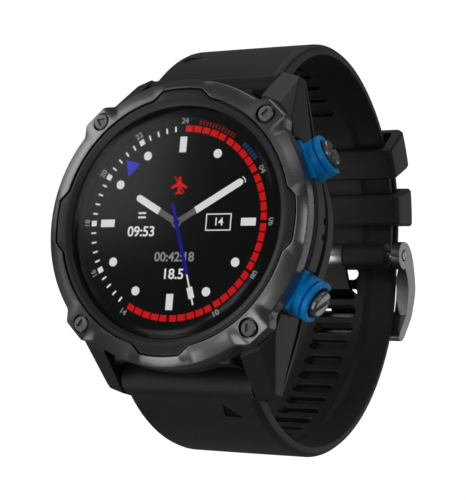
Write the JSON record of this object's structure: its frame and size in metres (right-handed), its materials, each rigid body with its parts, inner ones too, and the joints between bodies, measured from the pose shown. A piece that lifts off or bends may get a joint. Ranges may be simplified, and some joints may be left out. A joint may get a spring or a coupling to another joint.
{
  "type": "dive computer",
  "caption": "Wrist dive computer with a round screw-down bezel, side buttons with guards, and a closed silicone strap with a buckle.",
  "frame": {"origin": "middle of the face that rests on the wrist", "axes": "+X towards 3 o'clock, +Z towards 12 o'clock, +Y out of the rear cover towards the wrist, so the dial faces -Y"},
  "size_m": [0.0539, 0.0825, 0.0788],
  "materials": {
    "case_polymer": "fine matte fibre-reinforced polymer",
    "bezel_metal": "dark hard coating over circular brushing",
    "insert_black": "satin black",
    "glass": "polished, anti-reflection coated",
    "sensor_glass": "gloss black window",
    "rubber": "plain black",
    "silicone": "soft matte",
    "dial": "black display",
    "board": "solder mask",
    "battery_wrap": "foil pouch",
    "steel": "fine turned steel",
    "dark_steel": "dark hard coating",
    "blue": "blue anodised",
    "gold": "gold plated"
  },
  "bodies": {
    "case": {"battery": "battery_wrap", "bezel": "bezel_metal", "bezel_insert": "insert_black", "bezel_screw_1": "steel", "bezel_screw_2": "steel", "bezel_screw_3": "steel", "bezel_screw_4": "steel", "charge_contact_1": "gold", "charge_contact_2": "gold", "charge_contact_3": "gold", "charge_contact_4": "gold", "charge_port": "case_polymer", "depth_sensor": "steel", "display_panel": "dial", "guard_back": "blue", "guard_start": "blue", "lens": "glass", "lens_gasket": "rubber", "lug_pin_lower": "steel", "lug_pin_upper": "steel", "main_board": "board", "mid_case": "case_polymer", "rear_cover": "dark_steel", "rear_gasket": "rubber", "rear_screw_1": "steel", "rear_screw_2": "steel", "rear_screw_3": "steel", "rear_screw_4": "steel", "seal_back": "rubber", "seal_down": "rubber", "seal_light": "rubber", "seal_start": "rubber", "seal_up": "rubber", "sensor_window": "sensor_glass", "spring_back": "steel", "spring_down": "steel", "spring_light": "steel", "spring_start": "steel", "spring_up": "steel", "vibration_motor": "steel"},
    "short_strap": {"strap_upper": "silicone"},
    "long_strap": {"strap_lower": "silicone"},
    "upper_latch": {"latch_upper": "steel"},
    "lower_latch": {"latch_lower": "steel"},
    "buckle": {"buckle_frame": "dark_steel", "buckle_pin": "steel"},
    "tongue": {"buckle_tongue": "dark_steel"},
    "keeper_a": {"keeper_1": "silicone"},
    "keeper_b": {"keeper_2": "silicone"},
    "start_button": {"button_start": "dark_steel"},
    "back_button": {"button_back": "dark_steel"},
    "light_button": {"button_light": "dark_steel"},
    "up_button": {"button_up": "dark_steel"},
    "down_button": {"button_down": "dark_steel"}
  },
  "joints": [
    {"name": "short_strap_hinge", "type": "hinge", "parent": "case", "child": "short_strap", "pos_m": [0, -0.0042, 0.0263], "axis": [1, 0, 0], "range_deg": [0, 60], "deforming": ["strap_upper"]},
    {"name": "long_strap_hinge", "type": "hinge", "parent": "case", "child": "long_strap", "pos_m": [0, -0.0042, -0.0263], "axis": [-1, 0, 0], "range_deg": [0, 60], "deforming": ["strap_lower"]},
    {"name": "buckle_hinge", "type": "hinge", "parent": "short_strap", "child": "buckle", "pos_m": [0, 0.054, 0.0067], "axis": [1, 0, 0], "range_deg": [0, 50]},
    {"name": "tongue_hinge", "type": "hinge", "parent": "buckle", "child": "tongue", "pos_m": [0, 0.054, 0.0067], "axis": [1, 0, 0], "range_deg": [0, 35]},
    {"name": "keeper_1_slide", "type": "hinge", "parent": "short_strap", "child": "keeper_a", "pos_m": [0, 0.026, 0.0087], "axis": [1, 0, 0], "range_deg": [-5, 9]},
    {"name": "keeper_2_slide", "type": "hinge", "parent": "short_strap", "child": "keeper_b", "pos_m": [0, 0.026, 0.0087], "axis": [1, 0, 0], "range_deg": [-3, 1]},
    {"name": "upper_latch_slide", "type": "slide", "parent": "short_strap", "child": "upper_latch", "axis": [0, 0.6925, 0.7214], "range_m": [0, 0.0015], "stiffness_N_per_m": 300},
    {"name": "lower_latch_slide", "type": "slide", "parent": "long_strap", "child": "lower_latch", "axis": [0, 0.7621, -0.6475], "range_m": [0, 0.0015], "stiffness_N_per_m": 300},
    {"name": "start_press", "type": "slide", "parent": "case", "child": "start_button", "axis": [-0.891, 0, -0.454], "range_m": [0, 0.0008], "stiffness_N_per_m": 1500, "deforming": ["spring_start"]},
    {"name": "back_press", "type": "slide", "parent": "case", "child": "back_button", "axis": [-0.891, 0, 0.454], "range_m": [0, 0.0008], "stiffness_N_per_m": 1500, "deforming": ["spring_back"]},
    {"name": "light_press", "type": "slide", "parent": "case", "child": "light_button", "axis": [0.866, 0, -0.5], "range_m": [0, 0.0008], "stiffness_N_per_m": 1500, "deforming": ["spring_light"]},
    {"name": "up_press", "type": "slide", "parent": "case", "child": "up_button", "axis": [1, 0, 0], "range_m": [0, 0.0008], "stiffness_N_per_m": 1500, "deforming": ["spring_up"]},
    {"name": "down_press", "type": "slide", "parent": "case", "child": "down_button", "axis": [0.866, 0, 0.5], "range_m": [0, 0.0008], "stiffness_N_per_m": 1500, "deforming": ["spring_down"]}
  ]
}
